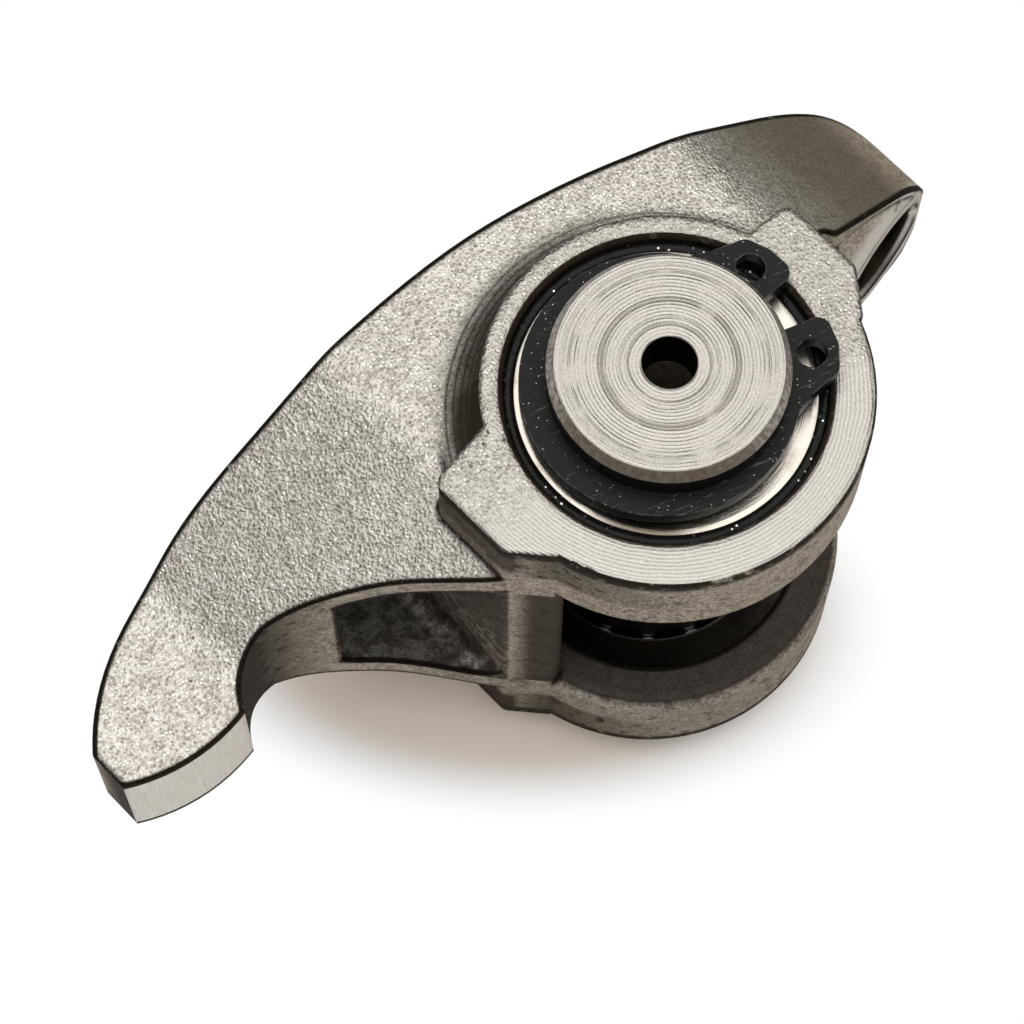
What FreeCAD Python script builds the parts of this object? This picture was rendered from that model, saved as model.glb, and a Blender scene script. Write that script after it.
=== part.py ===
"""Cast rocker arm with a needle-bearing trunnion, lying on its side as it is stored.

X runs along the arm, from the valve end (-X) to the pushrod end (+X).
Y is the bolt direction, with the arm's back at +Y.
Z is the trunnion axis. The origin is the middle of the trunnion, on the bolt's axis.
All lengths are in millimetres and all angles in degrees.
"""

import FreeCAD
import Part

import math
import os

from FreeCAD import Vector

# Trunnion shaft
SHAFT_R = 8.0
SHAFT_PROUD = 4.15
SHAFT_CHAMFER_RADIAL = 0.5
SHAFT_CHAMFER_AXIAL = 0.8
BOLT_HOLE_R = 4.1
BOLT_FLAT_DEPTH = 1.6
BOLT_FLAT_HALF_LENGTH = 7.6
BOLT_HOLE_CHAMFER = 0.5
CENTRE_HOLE_R = 1.83
CENTRE_HOLE_DEPTH = 4.2
DRILL_POINT_ANGLE = 118.0

# Bearing bosses of the casting
BOSS_HALF_WIDTH = 17.95
BOSS_THICKNESS = 8.6
BORE_CHAMFER = 0.35
RING_WALL_BACK = 1.54
RING_WALL_FRONT = 3.04
RING_EDGE_ROUND = 0.35
RING_INNER_ROUND = 1.2
RING_FOOT_FILLET = 2.8

# Ears and cross walls that tie the two bosses together
EAR_WALL_NOSE = 4.85
EAR_WALL_CUP = 4.35
EAR_TOP_NOSE = 5.75
EAR_TOP_CUP = 3.75
EAR_FOOT_NOSE = -0.9
EAR_FOOT_CUP = -2.6
EAR_CORNER_R = 0.9
WEB_FOOT_NOSE = -3.85
WEB_FOOT_CUP = -5.7
WEB_THICKNESS = 3.0

# Arm: its back, its underside and its width seen from above
ARM_LENGTH_NOSE = 42.4
ARM_LENGTH_CUP = 28.6
NOSE_HALF_WIDTH = 4.75
SHOULDER_HALF_WIDTH = 13.35
CUP_HALF_WIDTH = 5.7
CUP_END_ROUND = 7.5
FLARE_START_NOSE = 32.0
FLARE_END_NOSE = 13.2
FLARE_START_CUP = 15.2
FLARE_BLEND_R = 7.0
PAD_R = 13.6
PAD_TIP_Y = 8.0
PAD_HEEL_Y = 6.3
NOSE_BACK_PROFILE = ((0, 11.1), (2.8, 13.85), (6.0, 15.8), (9.6, 17.2), (14.9, 18.5))
BACK_PROFILE = (
    (-20.0, 18.85),
    (-12.5, 18.9),
    (-6.0, 18.85),
    (-0.4, 18.35),
    (5.1, 17.2),
    (9.6, 15.85),
    (14.5, 14.1),
    (20.0, 12.45),
)
CUP_BACK_PROFILE = ((4.0, 10.7), (1.3, 8.2), (0.25, 5.2), (0, 2.8))
BELLY_PROFILE = ((-18.4, 2.2), (-20.8, 4.75), (-23.2, 6.65), (-25.9, 8.35), (-28.4, 9.3))
HEEL_MIDDLE = (-30.8, 8.7)
PAD_LENGTH = 9.4
WINDOW_ROOF_NOSE = 14.9
WINDOW_ROOF_CUP = 11.2
POCKET_ROOF = 14.6
POCKET_ROOF_SLOPE = 0.15
SIDE_WALL = 2.3

# Windows and pockets of the casting
WINDOW_CORNER_R = 2.5
BOLT_WINDOW_HALF_LENGTH = 9.0
BOLT_WINDOW_HALF_WIDTH = 8.0
POCKET_LENGTH = 8.2
POCKET_CORNER_R = 1.2

# Pushrod seat
SEAT_SETBACK = 4.5
SEAT_Y = 0.9
SEAT_TILT = 10.0
SEAT_BALL_R = 3.9
SEAT_MOUTH = 1.6
SEAT_MOUTH_CHAMFER = 0.5
RIM_REACH = 4.6
COLLAR_RIM_R = 5.6
COLLAR_TOP_R = 10.5
COLLAR_HEIGHT = 1.5
NOTCH_WIDTH = 2.6
NOTCH_Y = 2.2
OIL_HOLE_R = 0.8

# Needle bearings
SHELL_RECESS = 0.8
SHELL_LENGTH = 7.6
SHELL_WALL = 0.8
SHELL_LIP = 0.75
SHELL_LIP_CLEARANCE = 0.75
SHELL_CORNER_R = 1.1
NEEDLE_COUNT = 16
NEEDLE_R = 0.96
NEEDLE_CLEARANCE = 0.04
NEEDLE_LENGTH = 4.8
CAGE_WALL_CLEARANCE = 0.35
CAGE_END_CLEARANCE = 0.1
CAGE_POCKET_CLEARANCE = 0.08

# Retaining rings
RING_THICKNESS = 1.2
RING_LIFT = 0.3
GROOVE_DEPTH = 0.4
GROOVE_SIDE_CLEARANCE = 0.05
GROOVE_BOTTOM_CLEARANCE = 0.05
RING_BODY_REACH = 1.25
RING_BODY_OFFSET = 0.6
LUG_REACH = 3.4
LUG_HOLE_R = 1.0
LUG_HOLE_REACH = 1.65
RING_GAP_DIRECTION = -11.3
LUG_SPREAD = 22.0
LUG_FAR_ANGLE = 32.0
LUG_ROOT_ANGLE = 47.0
GAP_HALF_ANGLE = 8.6
LUG_CORNER_R = 0.9

# Values that follow from the ones above
SHAFT_HALF_LENGTH = BOSS_HALF_WIDTH + SHAFT_PROUD
BOSS_INNER = BOSS_HALF_WIDTH - BOSS_THICKNESS
BOLT_FLAT_Y = SHAFT_R - BOLT_FLAT_DEPTH
PITCH_R = SHAFT_R + NEEDLE_CLEARANCE + NEEDLE_R
RACE_R = PITCH_R + NEEDLE_R + NEEDLE_CLEARANCE
BORE_R = RACE_R + SHELL_WALL
RING_BACK_R = BORE_R + RING_WALL_BACK
RING_FRONT_R = BORE_R + RING_WALL_FRONT
EAR_REACH_NOSE = BORE_R + EAR_WALL_NOSE
EAR_REACH_CUP = BORE_R + EAR_WALL_CUP
SEAT_X = ARM_LENGTH_CUP - SEAT_SETBACK
SHELL_LIP_R = SHAFT_R + SHELL_LIP_CLEARANCE
SHELL_TOP = BOSS_HALF_WIDTH - SHELL_RECESS
SHELL_BOTTOM = SHELL_TOP - SHELL_LENGTH
BEARING_MID = (SHELL_TOP + SHELL_BOTTOM) / 2
CAGE_HALF_LENGTH = SHELL_LENGTH / 2 - SHELL_LIP - CAGE_END_CLEARANCE
GROOVE_R = SHAFT_R - GROOVE_DEPTH
RING_BOTTOM = BOSS_HALF_WIDTH + RING_LIFT
RING_BODY_R = SHAFT_R + RING_BODY_REACH
LUG_OUTER_R = SHAFT_R + LUG_REACH
LUG_HOLE_RADIUS = SHAFT_R + LUG_HOLE_REACH
SIDES = (("upper", 1), ("lower", -1))

X_AXIS = Vector(1, 0, 0)
Y_AXIS = Vector(0, 1, 0)
Z_AXIS = Vector(0, 0, 1)


def polar(radius, angle, z=0.0):
    turn = math.radians(angle)
    return Vector(radius * math.cos(turn), radius * math.sin(turn), z)


def polygon_wire(points):
    """A closed wire of straight edges through the points."""
    corners = [Vector(*p) for p in points]
    return Part.makePolygon(corners + [corners[0]])


def prism(wire, direction):
    return Part.Face(wire).extrude(direction)


def slab(wire, z_low, z_high):
    """A flat wire drawn at z = 0, extruded between two heights."""
    solid = prism(wire, Vector(0, 0, z_high - z_low))
    solid.translate(Vector(0, 0, z_low))
    return solid


def box(x_low, x_high, y_low, y_high, z_low, z_high):
    size = (x_high - x_low, y_high - y_low, z_high - z_low)
    return Part.makeBox(*size, Vector(x_low, y_low, z_low))


def cylinder(radius, z_low, z_high):
    return Part.makeCylinder(radius, z_high - z_low, Vector(0, 0, z_low))


def revolve(points):
    """A solid of revolution about Z from (radius, height) points."""
    face = Part.Face(polygon_wire([(r, 0, z) for r, z in points]))
    return face.revolve(Vector(0, 0, 0), Z_AXIS, 360)


def round_edges(solid, radius, chosen):
    """Fillets the edges for which chosen is true."""
    edges = [e for e in solid.Edges if chosen(e)]
    return solid.makeFillet(radius, edges) if edges else solid


def is_along(edge, axis):
    """True for a straight edge that runs along an axis."""
    if not isinstance(edge.Curve, (Part.Line, Part.LineSegment)):
        return False
    run = edge.Vertexes[-1].Point - edge.Vertexes[0].Point
    return run.Length > 0 and abs(abs(run.normalize().dot(axis)) - 1) < 1e-6


def mirrored(solid):
    """The same piece on the other side of the arm's middle plane."""
    return solid.mirror(Vector(0, 0, 0), Z_AXIS)


def arm_outline():
    """The arm seen along the trunnion: back, pushrod end, underside, pad and nose."""
    nose_low = Vector(-ARM_LENGTH_NOSE, PAD_TIP_Y, 0)
    pad_heel = Vector(-ARM_LENGTH_NOSE + PAD_LENGTH, PAD_HEEL_Y, 0)
    foot_nose = Vector(-EAR_REACH_NOSE, EAR_FOOT_NOSE, 0)
    foot_cup = Vector(EAR_REACH_CUP, EAR_FOOT_CUP, 0)
    back_points = [Vector(step - ARM_LENGTH_NOSE, y, 0) for step, y in NOSE_BACK_PROFILE]
    back_points += [Vector(*point) for point in BACK_PROFILE]
    back_points += [Vector(ARM_LENGTH_CUP - step, y, 0) for step, y in CUP_BACK_PROFILE]
    back = Part.BSplineCurve()
    back.interpolate(back_points)
    belly = Part.BSplineCurve()
    belly.interpolate([foot_nose] + [Vector(*point) for point in BELLY_PROFILE])
    heel_top = Vector(*BELLY_PROFILE[-1])
    heel = Part.BSplineCurve()
    heel.interpolate([heel_top, Vector(*HEEL_MIDDLE), pad_heel])
    chord = nose_low - pad_heel
    sagitta = PAD_R - math.sqrt(PAD_R**2 - (chord.Length / 2) ** 2)
    below = Vector(-chord.y, chord.x, 0).normalize()
    pad_middle = (nose_low + pad_heel) * 0.5 + below * sagitta
    rim_outer, rim_inner = seat_plane_points()
    notch_roof = Vector(EAR_REACH_CUP + NOTCH_WIDTH, NOTCH_Y, 0)
    notch_root = Vector(EAR_REACH_CUP, NOTCH_Y, 0)
    corners = [back_points[-1], rim_outer, rim_inner, notch_roof, notch_root, foot_cup, foot_nose]
    edges = [back.toShape()]
    edges += [Part.LineSegment(a, b).toShape() for a, b in zip(corners, corners[1:])]
    edges += [
        belly.toShape(),
        heel.toShape(),
        Part.Arc(pad_heel, pad_middle, nose_low).toShape(),
        Part.LineSegment(nose_low, back_points[0]).toShape(),
    ]
    return Part.Wire(edges)


def seat_plane_points():
    """The two ends of the flat rim round the pushrod seat, outer end first."""
    along = polar(RIM_REACH, SEAT_TILT)
    middle = Vector(SEAT_X, SEAT_Y, 0)
    return middle + along, middle - along


def arm_width():
    """The arm seen from its back: a narrow nose, a flare, the full width, and a taper."""
    side = [
        (-ARM_LENGTH_NOSE - 5, NOSE_HALF_WIDTH),
        (-FLARE_START_NOSE, NOSE_HALF_WIDTH),
        (-FLARE_END_NOSE, SHOULDER_HALF_WIDTH),
        (FLARE_START_CUP, SHOULDER_HALF_WIDTH),
        (ARM_LENGTH_CUP + 0.2, CUP_HALF_WIDTH),
    ]
    corners = side + [(x, -z) for x, z in reversed(side)]
    width = prism(polygon_wire([(x, 0, z) for x, z in corners]), Vector(0, 60, 0))
    width.translate(Vector(0, -30, 0))

    def is_bend(edge):
        bends = (-FLARE_START_NOSE, -FLARE_END_NOSE, FLARE_START_CUP)
        return is_along(edge, Y_AXIS) and any(abs(edge.CenterOfMass.x - x) < 0.01 for x in bends)

    width = round_edges(width, FLARE_BLEND_R, is_bend)
    return round_edges(
        width,
        CUP_END_ROUND,
        lambda e: is_along(e, Y_AXIS) and e.CenterOfMass.x > ARM_LENGTH_CUP,
    )


def arm_beam():
    """The crescent arm before its hollows: its outline crossed with its width."""
    outline = slab(arm_outline(), -BOSS_HALF_WIDTH, BOSS_HALF_WIDTH)
    return outline.common(arm_width())


def boss_plan():
    """A boss seen along the trunnion: thin ring behind, thick ring in front, and two ears."""
    thin = Part.makeCylinder(RING_BACK_R, 1)
    thick = Part.makeCylinder(RING_FRONT_R, 1)
    front_line = [
        (-EAR_REACH_NOSE, WEB_FOOT_NOSE + 0.6, 0),
        (EAR_REACH_CUP, WEB_FOOT_CUP + 1.0, 0),
        (EAR_REACH_CUP, -30, 0),
        (-EAR_REACH_NOSE, -30, 0),
    ]
    thick = thick.common(prism(polygon_wire(front_line), Z_AXIS))
    saddle = [
        (-RING_BACK_R + 2.0, EAR_TOP_NOSE + 0.6, 0),
        (-EAR_REACH_NOSE, EAR_TOP_NOSE, 0),
        (-EAR_REACH_NOSE, EAR_FOOT_NOSE, 0),
        (-EAR_REACH_NOSE + 2.2, WEB_FOOT_NOSE + 0.4, 0),
        (EAR_REACH_CUP - 2.2, WEB_FOOT_CUP + 0.3, 0),
        (EAR_REACH_CUP, EAR_FOOT_CUP, 0),
        (EAR_REACH_CUP, EAR_TOP_CUP, 0),
        (RING_BACK_R - 1.0, EAR_TOP_CUP + 0.3, 0),
    ]
    saddle = prism(polygon_wire(saddle), Z_AXIS)

    def is_ear_corner(edge):
        corner_x = (-EAR_REACH_NOSE, EAR_REACH_CUP)
        return is_along(edge, Z_AXIS) and any(abs(edge.CenterOfMass.x - x) < 0.01 for x in corner_x)

    saddle = round_edges(saddle, EAR_CORNER_R, is_ear_corner)
    return thin.fuse([thick, saddle]).removeSplitter()


def boss():
    """One bearing boss, standing between its inner and its outer face."""
    plan = boss_plan()
    top = max(plan.Faces, key=lambda f: f.CenterOfMass.z)
    body = Part.Face(top.OuterWire).extrude(Vector(0, 0, BOSS_THICKNESS))
    body.translate(Vector(0, 0, BOSS_INNER - 1))

    def is_front_arc(edge, z):
        reach = edge.BoundBox
        flat = abs(reach.ZMin - z) < 0.01 and abs(reach.ZMax - z) < 0.01
        on_ring = isinstance(edge.Curve, Part.Circle) and abs(edge.Curve.Radius - RING_FRONT_R) < 0.01
        return flat and on_ring

    body = round_edges(body, RING_INNER_ROUND, lambda e: is_front_arc(e, BOSS_INNER))
    body = round_edges(body, RING_EDGE_ROUND, lambda e: is_front_arc(e, BOSS_HALF_WIDTH))
    return body


def boss_foot():
    """The hollow fillet where the boss rises out of the arm's side."""
    height = BOSS_HALF_WIDTH - SHOULDER_HALF_WIDTH
    reach = min(RING_FOOT_FILLET, height)
    steps = 8
    centre = (RING_BACK_R + reach, SHOULDER_HALF_WIDTH + reach)
    curve = []
    for i in range(steps + 1):
        turn = math.radians(180 + 90 * i / steps)
        curve.append((centre[0] + reach * math.cos(turn), centre[1] + reach * math.sin(turn)))
    inner = RING_BACK_R - 1.0
    points = [(inner, SHOULDER_HALF_WIDTH - 1.0), (inner, centre[1])] + curve
    points.append((centre[0], SHOULDER_HALF_WIDTH - 1.0))
    return revolve(points)


def cross_webs():
    """The two walls across the arm, fore and aft of the trunnion."""
    nose_side = [
        (-EAR_REACH_NOSE, EAR_FOOT_NOSE, 0),
        (-EAR_REACH_NOSE + 2.2, WEB_FOOT_NOSE + 0.4, 0),
        (-EAR_REACH_NOSE + WEB_THICKNESS, WEB_FOOT_NOSE + 0.3, 0),
        (-EAR_REACH_NOSE + WEB_THICKNESS, 16, 0),
        (-EAR_REACH_NOSE, 16, 0),
    ]
    cup_side = [
        (EAR_REACH_CUP, EAR_FOOT_CUP, 0),
        (EAR_REACH_CUP - 2.2, WEB_FOOT_CUP + 0.3, 0),
        (EAR_REACH_CUP - WEB_THICKNESS, WEB_FOOT_CUP + 0.25, 0),
        (EAR_REACH_CUP - WEB_THICKNESS, 12, 0),
        (EAR_REACH_CUP, 12, 0),
    ]
    half = BOSS_INNER + 0.5
    return [slab(polygon_wire(points), -half, half) for points in (nose_side, cup_side)]


def trunnion_window():
    """The open middle of the casting and the bolt's way in through the back."""
    x_low = -EAR_REACH_NOSE + WEB_THICKNESS
    x_high = EAR_REACH_CUP - WEB_THICKNESS
    ceiling = [
        (x_low, -30, 0),
        (x_low, WINDOW_ROOF_NOSE, 0),
        (x_high, WINDOW_ROOF_CUP, 0),
        (x_high, -30, 0),
    ]
    room = slab(polygon_wire(ceiling), -BOSS_INNER, BOSS_INNER)
    slot = box(
        -BOLT_WINDOW_HALF_LENGTH,
        BOLT_WINDOW_HALF_LENGTH,
        5,
        30,
        -BOLT_WINDOW_HALF_WIDTH,
        BOLT_WINDOW_HALF_WIDTH,
    )
    slot = round_edges(slot, WINDOW_CORNER_R, lambda e: is_along(e, Y_AXIS))
    return room.fuse(slot)


def nose_pocket():
    """The hollow under the arm, between the nose and the cross web."""
    x_high = -EAR_REACH_NOSE
    x_low = x_high - POCKET_LENGTH
    slope = (SHOULDER_HALF_WIDTH - NOSE_HALF_WIDTH) / (FLARE_START_NOSE - FLARE_END_NOSE)
    low_half = NOSE_HALF_WIDTH + slope * (FLARE_START_NOSE + x_low) - SIDE_WALL
    high_half = NOSE_HALF_WIDTH + slope * (FLARE_START_NOSE + x_high) - SIDE_WALL
    plan = [(x_low, 0, low_half), (x_high, 0, high_half), (x_high, 0, -high_half), (x_low, 0, -low_half)]
    hollow = prism(polygon_wire(plan), Vector(0, 30, 0))
    hollow.translate(Vector(0, -10, 0))
    hollow = round_edges(hollow, POCKET_CORNER_R, lambda e: is_along(e, Y_AXIS))
    drop = POCKET_ROOF_SLOPE * POCKET_LENGTH
    ceiling = [(x_low, -20, 0), (x_low, POCKET_ROOF - drop, 0), (x_high, POCKET_ROOF, 0), (x_high, -20, 0)]
    return hollow.common(slab(polygon_wire(ceiling), -BOSS_HALF_WIDTH, BOSS_HALF_WIDTH))


def pushrod_seat():
    """The ball seat, its straight mouth and the oil hole behind it."""
    depth = SEAT_MOUTH
    ball = Part.makeSphere(SEAT_BALL_R, Vector(0, 0, depth))
    mouth = Part.makeCylinder(SEAT_BALL_R, depth + 6, Vector(0, 0, -6))
    lead = Part.makeCone(
        SEAT_BALL_R + SEAT_MOUTH_CHAMFER + 1,
        SEAT_BALL_R,
        SEAT_MOUTH_CHAMFER + 1,
        Vector(0, 0, -1),
    )
    oil = Part.makeCylinder(OIL_HOLE_R, 20, Vector(0, 0, depth))
    seat = ball.fuse([mouth, lead, oil])
    seat.rotate(Vector(0, 0, 0), X_AXIS, -90)
    seat.rotate(Vector(0, 0, 0), Z_AXIS, SEAT_TILT)
    seat.translate(Vector(SEAT_X, SEAT_Y, 0))
    return seat


def collar_relief():
    """What is cut away round the pushrod seat, to leave a cone that grows into the arm."""
    block = box(EAR_REACH_CUP, ARM_LENGTH_CUP + 10, -10, COLLAR_HEIGHT + SEAT_Y - 0.9, -20, 20)
    cone = Part.makeCone(COLLAR_RIM_R, COLLAR_TOP_R, COLLAR_HEIGHT)
    skirt = Part.makeCylinder(COLLAR_RIM_R, SEAT_BALL_R, Vector(0, 0, -SEAT_BALL_R))
    collar = cone.fuse(skirt)
    collar.rotate(Vector(0, 0, 0), X_AXIS, -90)
    collar.rotate(Vector(0, 0, 0), Z_AXIS, SEAT_TILT)
    collar.translate(Vector(SEAT_X, SEAT_Y, 0))
    return block.cut(collar)


def rocker_body():
    """The whole casting, machined."""
    upper = boss()
    foot = boss_foot().common(slab(arm_outline(), -BOSS_HALF_WIDTH, BOSS_HALF_WIDTH))
    pieces = [upper, mirrored(upper), foot, mirrored(foot)] + cross_webs()
    body = arm_beam().cut(collar_relief()).fuse(pieces)
    body = body.cut(nose_pocket()).cut(trunnion_window())
    bore = cylinder(BORE_R, -BOSS_HALF_WIDTH - 1, BOSS_HALF_WIDTH + 1)
    lead_r = BORE_R + BORE_CHAMFER
    top = BOSS_HALF_WIDTH
    lead = Part.makeCone(BORE_R, lead_r + 1, BORE_CHAMFER + 1, Vector(0, 0, top - BORE_CHAMFER))
    body = body.cut(bore.fuse([lead, mirrored(lead)]))
    return body.cut(pushrod_seat()).removeSplitter()


def trunnion():
    """The shaft: chamfered ends, ring grooves, bolt flats and the bolt's hole."""
    end = SHAFT_HALF_LENGTH
    face_r = SHAFT_R - SHAFT_CHAMFER_RADIAL
    groove_low = RING_BOTTOM - GROOVE_SIDE_CLEARANCE
    groove_high = RING_BOTTOM + RING_THICKNESS + GROOVE_SIDE_CLEARANCE
    half = [
        (0, 0),
        (SHAFT_R, 0),
        (SHAFT_R, groove_low),
        (GROOVE_R, groove_low),
        (GROOVE_R, groove_high),
        (SHAFT_R, groove_high),
        (SHAFT_R, end - SHAFT_CHAMFER_AXIAL),
        (face_r, end),
        (CENTRE_HOLE_R, end),
        (CENTRE_HOLE_R, end - CENTRE_HOLE_DEPTH),
        (0, end - CENTRE_HOLE_DEPTH - CENTRE_HOLE_R / math.tan(math.radians(DRILL_POINT_ANGLE / 2))),
    ]
    upper = revolve(half)
    shaft = upper.fuse(mirrored(upper)).removeSplitter()
    for side in (1, -1):
        low, high = sorted((side * BOLT_FLAT_Y, side * (SHAFT_R + 1)))
        flat = box(
            -SHAFT_R - 1,
            SHAFT_R + 1,
            low,
            high,
            -BOLT_FLAT_HALF_LENGTH,
            BOLT_FLAT_HALF_LENGTH,
        )
        shaft = shaft.cut(flat)
    hole = Part.makeCylinder(BOLT_HOLE_R, 4 * SHAFT_R, Vector(0, -2 * SHAFT_R, 0), Y_AXIS)
    leads = []
    for side in (1, -1):
        leads.append(
            Part.makeCone(
                BOLT_HOLE_R,
                BOLT_HOLE_R + BOLT_HOLE_CHAMFER,
                BOLT_HOLE_CHAMFER,
                Vector(0, side * (BOLT_FLAT_Y - BOLT_HOLE_CHAMFER), 0),
                Vector(0, side, 0),
            )
        )
    return shaft.cut(hole.fuse(leads))


def bearing_shell():
    """A drawn cup, lipped inwards at both ends, with a rolled outer corner."""
    low, high = SHELL_BOTTOM, SHELL_TOP
    blank = cylinder(BORE_R, low, high)
    blank = round_edges(
        blank,
        SHELL_CORNER_R,
        lambda e: isinstance(e.Curve, Part.Circle) and e.CenterOfMass.z > high - 0.1,
    )
    race = cylinder(RACE_R, low + SHELL_LIP, high - SHELL_LIP)
    mouth = cylinder(SHELL_LIP_R, low - 1, high + 1)
    return blank.cut(race.fuse(mouth))


def bearing_cage():
    """The ring that spaces the needles, with one pocket for each."""
    low = BEARING_MID - CAGE_HALF_LENGTH
    high = BEARING_MID + CAGE_HALF_LENGTH
    inner, outer = SHAFT_R + CAGE_WALL_CLEARANCE, RACE_R - CAGE_WALL_CLEARANCE
    cage = cylinder(outer, low, high).cut(cylinder(inner, low - 1, high + 1))
    half_slot = NEEDLE_R + CAGE_POCKET_CLEARANCE
    half_length = NEEDLE_LENGTH / 2 + CAGE_POCKET_CLEARANCE
    slots = []
    for i in range(NEEDLE_COUNT):
        slot = box(
            inner - 0.5,
            outer + 0.5,
            -half_slot,
            half_slot,
            BEARING_MID - half_length,
            BEARING_MID + half_length,
        )
        slot.rotate(Vector(0, 0, 0), Z_AXIS, i * 360 / NEEDLE_COUNT)
        slots.append(slot)
    return cage.cut(slots)


def needle(index):
    """One roller in its pocket."""
    low = BEARING_MID - NEEDLE_LENGTH / 2
    roller = Part.makeCylinder(NEEDLE_R, NEEDLE_LENGTH, Vector(PITCH_R, 0, low))
    roller.rotate(Vector(0, 0, 0), Z_AXIS, index * 360 / NEEDLE_COUNT)
    return roller


def ring_lug(side):
    """One plier lug of a retaining ring, drawn with the ring's gap at +X."""
    inner = GROOVE_R + GROOVE_BOTTOM_CLEARANCE
    gap_edge = side * GAP_HALF_ANGLE
    far_edge = side * LUG_FAR_ANGLE
    root = side * LUG_ROOT_ANGLE
    flank_end = (far_edge + root) / 2
    outline = [
        tuple(polar(inner + 0.3, gap_edge)),
        tuple(polar(LUG_OUTER_R, gap_edge)),
        tuple(polar(LUG_OUTER_R + 0.1, (gap_edge + far_edge) / 2)),
        tuple(polar(LUG_OUTER_R - 0.1, far_edge - side * 2.5)),
        tuple(polar(RING_BODY_R + 0.25, flank_end)),
        tuple(polar(RING_BODY_R - RING_BODY_OFFSET + 0.2, root)),
        tuple(polar(inner + 0.3, root)),
    ]
    lug = prism(polygon_wire(outline), Vector(0, 0, RING_THICKNESS))
    limit = LUG_OUTER_R - 0.6

    def is_outer_corner(edge):
        middle = edge.CenterOfMass
        return is_along(edge, Z_AXIS) and math.hypot(middle.x, middle.y) > limit

    return round_edges(lug, LUG_CORNER_R, is_outer_corner)


def retaining_ring():
    """An external retaining ring: widest opposite its gap, with two drilled lugs."""
    inner = GROOVE_R + GROOVE_BOTTOM_CLEARANCE
    thick = RING_THICKNESS
    ring = Part.makeCylinder(RING_BODY_R, thick, Vector(-RING_BODY_OFFSET, 0, 0))
    ring = ring.fuse([ring_lug(1), ring_lug(-1)]).removeSplitter()
    gap = [(0, 0, -1)]
    gap += [tuple(polar(30, side * GAP_HALF_ANGLE, -1)) for side in (1, -1)]
    cuts = [prism(polygon_wire(gap), Vector(0, 0, thick + 2))]
    cuts.append(Part.makeCylinder(inner, thick + 2, Vector(0, 0, -1)))
    for side in (1, -1):
        cuts.append(Part.makeCylinder(LUG_HOLE_R, thick + 2, polar(LUG_HOLE_RADIUS, side * LUG_SPREAD, -1)))
    ring = ring.cut(cuts)
    ring.rotate(Vector(0, 0, 0), Z_AXIS, RING_GAP_DIRECTION)
    ring.translate(Vector(0, 0, RING_BOTTOM))
    return ring


def write(name, shape):
    """Checks that a piece is one sound solid and saves it."""
    solid = shape.Solids[0] if len(shape.Solids) == 1 else shape
    if len(shape.Solids) != 1 or not solid.isValid():
        raise ValueError(f"{name}: {len(shape.Solids)} solids, valid {shape.isValid()}")
    solid.exportStep(f"parts/{name}.step")


def main():
    os.makedirs("parts", exist_ok=True)
    write("rocker_body", rocker_body())
    write("trunnion", trunnion())
    shell, cage, ring = bearing_shell(), bearing_cage(), retaining_ring()
    for side, sign in SIDES:
        place = (lambda solid: solid) if sign > 0 else mirrored
        write(f"bearing_shell_{side}", place(shell))
        write(f"bearing_cage_{side}", place(cage))
        write(f"retaining_ring_{side}", place(ring))
        for i in range(NEEDLE_COUNT):
            write(f"needle_{side}_{i + 1:02d}", place(needle(i)))


main()
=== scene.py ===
"""Roller-bearing rocker arm on its trunnion, dressed for a studio picture.

The frame gives the shapes. This file gives each of them its finish, adds the old
oil that stands between the bearings and their bores, and sets the floor, the lamp
and the camera. Lengths are in metres, and patterns are written in millimetres.
"""
import math

import bmesh
import bpy
from mathutils import Matrix, Vector


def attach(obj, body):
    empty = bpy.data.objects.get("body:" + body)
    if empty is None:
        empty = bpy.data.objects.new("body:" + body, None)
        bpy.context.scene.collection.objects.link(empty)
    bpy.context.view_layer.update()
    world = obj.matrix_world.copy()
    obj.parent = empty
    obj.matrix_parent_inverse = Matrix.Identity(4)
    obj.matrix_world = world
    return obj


bl_info = {
    "name": "Rocker arm",
    "version": (1, 0, 0),
    "blender": (4, 5, 0),
    "location": "3D View > Sidebar > Rocker arm",
    "description": "Dresses a roller-bearing rocker arm and sets it on a pale studio floor",
    "category": "Object",
}

MM = 0.001
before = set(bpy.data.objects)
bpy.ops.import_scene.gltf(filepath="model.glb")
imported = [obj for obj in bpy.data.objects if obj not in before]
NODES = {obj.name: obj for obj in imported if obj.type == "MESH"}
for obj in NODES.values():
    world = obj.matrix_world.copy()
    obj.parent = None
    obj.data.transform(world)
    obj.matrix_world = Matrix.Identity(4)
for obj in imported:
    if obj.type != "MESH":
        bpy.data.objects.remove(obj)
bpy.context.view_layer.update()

# Places on the part, in millimetres
SIDES = {"upper": 1.0, "lower": -1.0}
BOSS_HALF_WIDTH = 17.95
BOSS_INNER = 9.35
RING_BACK_R = 12.34
BORE_R = 10.8
SHELL_TOP = 17.15
SHAFT_HALF_LENGTH = 22.1
CENTRE_HOLE_R = 1.83
NOSE_HALF_WIDTH = 4.75
PAD_R = 13.6
PAD_TIP = Vector((-42.4, 8.0))
PAD_HEEL = Vector((-33.0, 6.3))
POCKET_START = -23.85
POCKET_END = -15.65
POCKET_ROOF = 14.6
POCKET_HALF = 17.09
POCKET_SLOPE = 0.457
SEAT_PLACE = (24.1, 0.9)
SEAT_TILT = math.radians(10.0)
SEAT_R = 3.9
CRACK_PLACE = (-11.7, 5.0)
SCRATCH_START = -35.6
SCRATCH_END = -33.0
SCRATCH_Y = 11.65
OIL_RING_R = 10.42
OIL_RING_HEIGHT = 17.0
OIL_RING_WIDTH = 0.42
OIL_RING_DEPTH = 0.2

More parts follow.
